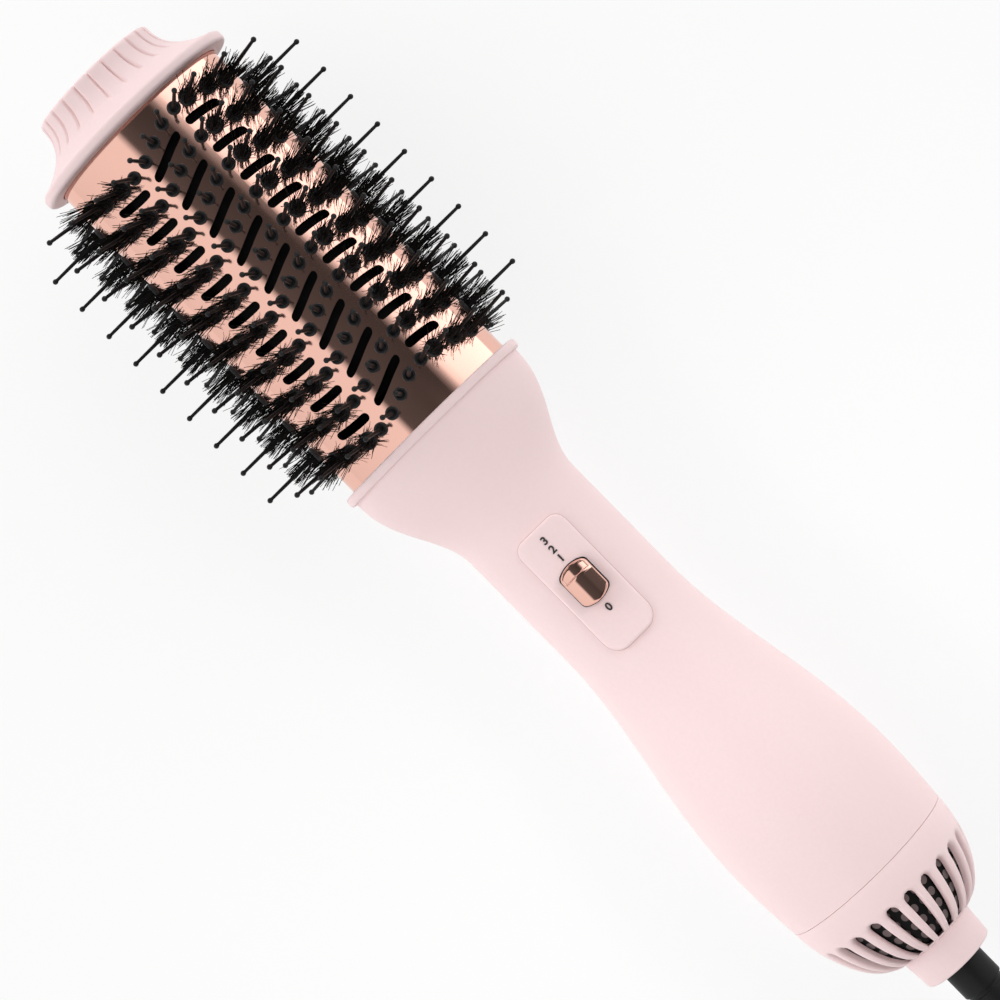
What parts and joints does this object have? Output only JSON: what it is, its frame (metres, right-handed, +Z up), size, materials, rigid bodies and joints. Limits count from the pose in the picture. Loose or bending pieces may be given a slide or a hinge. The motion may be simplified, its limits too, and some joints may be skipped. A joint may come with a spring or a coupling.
{
  "type": "hot air brush",
  "caption": "Hot air hair brush: slotted oval barrel with ball-tipped bristles on a tapered handle that holds a heater, motor and fan, with a slide switch and a mains cord.",
  "frame": {"origin": "on the floor under the middle of the brush, measured from the nose to the end of the cord collar", "axes": "+X from the nose to the cord, +Y to the left seen from the cord, +Z up, the side that has the switch"},
  "size_m": [0.5775, 0.1233, 0.0785],
  "materials": {
    "pink_plastic": "fine matte",
    "rose_gold_metal": "polished",
    "rose_gold_plastic": "plated",
    "black_nylon": "satin",
    "black_plastic": "matte",
    "black_rubber": "matte",
    "steel": "plain",
    "mica": "mica sheet",
    "pale_nylon": "matte",
    "circuit_board": "laminate",
    "ferrite": "sintered"
  },
  "bodies": {
    "brush": {"air_guide": "black_plastic", "barrel_mount_ring": "black_plastic", "barrel_sleeve": "rose_gold_metal", "bristle_comb_back": "black_nylon", "bristle_comb_front": "black_nylon", "bristle_strip_left": "black_nylon", "bristle_strip_right": "black_nylon", "cord_coil": "black_rubber", "cord_collar": "pink_plastic", "cord_run": "black_rubber", "cord_tie": "black_rubber", "handle_screw_1": "steel", "handle_screw_2": "steel", "handle_shell_bottom": "pink_plastic", "handle_shell_top": "pink_plastic", "heater_ring_front": "mica", "heater_ring_rear": "mica", "heater_tube": "steel", "heater_winding": "steel", "intake_filter": "black_plastic", "mica_card_level": "mica", "mica_card_upright": "mica", "motor_can": "steel", "motor_end_plate": "black_plastic", "motor_lead_left": "black_rubber", "motor_lead_right": "black_rubber", "motor_magnet_left": "ferrite", "motor_magnet_right": "ferrite", "motor_mount": "pale_nylon", "nose_cap": "pink_plastic", "nose_retainer": "black_plastic", "plug_body": "black_rubber", "plug_pin_left": "steel", "plug_pin_right": "steel", "rear_grille": "pink_plastic", "slide_switch": "black_plastic", "switch_board": "circuit_board", "switch_plate": "pink_plastic", "swivel_retainer": "steel", "thermal_fuse": "pale_nylon", "thermostat": "black_plastic"},
    "switch": {"switch_knob": "rose_gold_plastic"},
    "fan": {"motor_rotor": "steel", "fan_impeller": "black_plastic"},
    "cord_swivel": {"strain_relief": "black_rubber"}
  },
  "joints": [
    {"name": "switch_slide", "type": "slide", "parent": "brush", "child": "switch", "axis": [-0.9982, 0, 0.0592], "range_m": [0, 0.007]},
    {"name": "fan_spin", "type": "hinge", "parent": "brush", "child": "fan", "pos_m": [0.11879, 0, 0.02614], "axis": [0.9982, 0, -0.0592], "continuous": true},
    {"name": "cord_swivel", "type": "hinge", "parent": "brush", "child": "cord_swivel", "pos_m": [0.17638, 0, 0.02273], "axis": [0.9982, 0, -0.0592], "continuous": true}
  ]
}
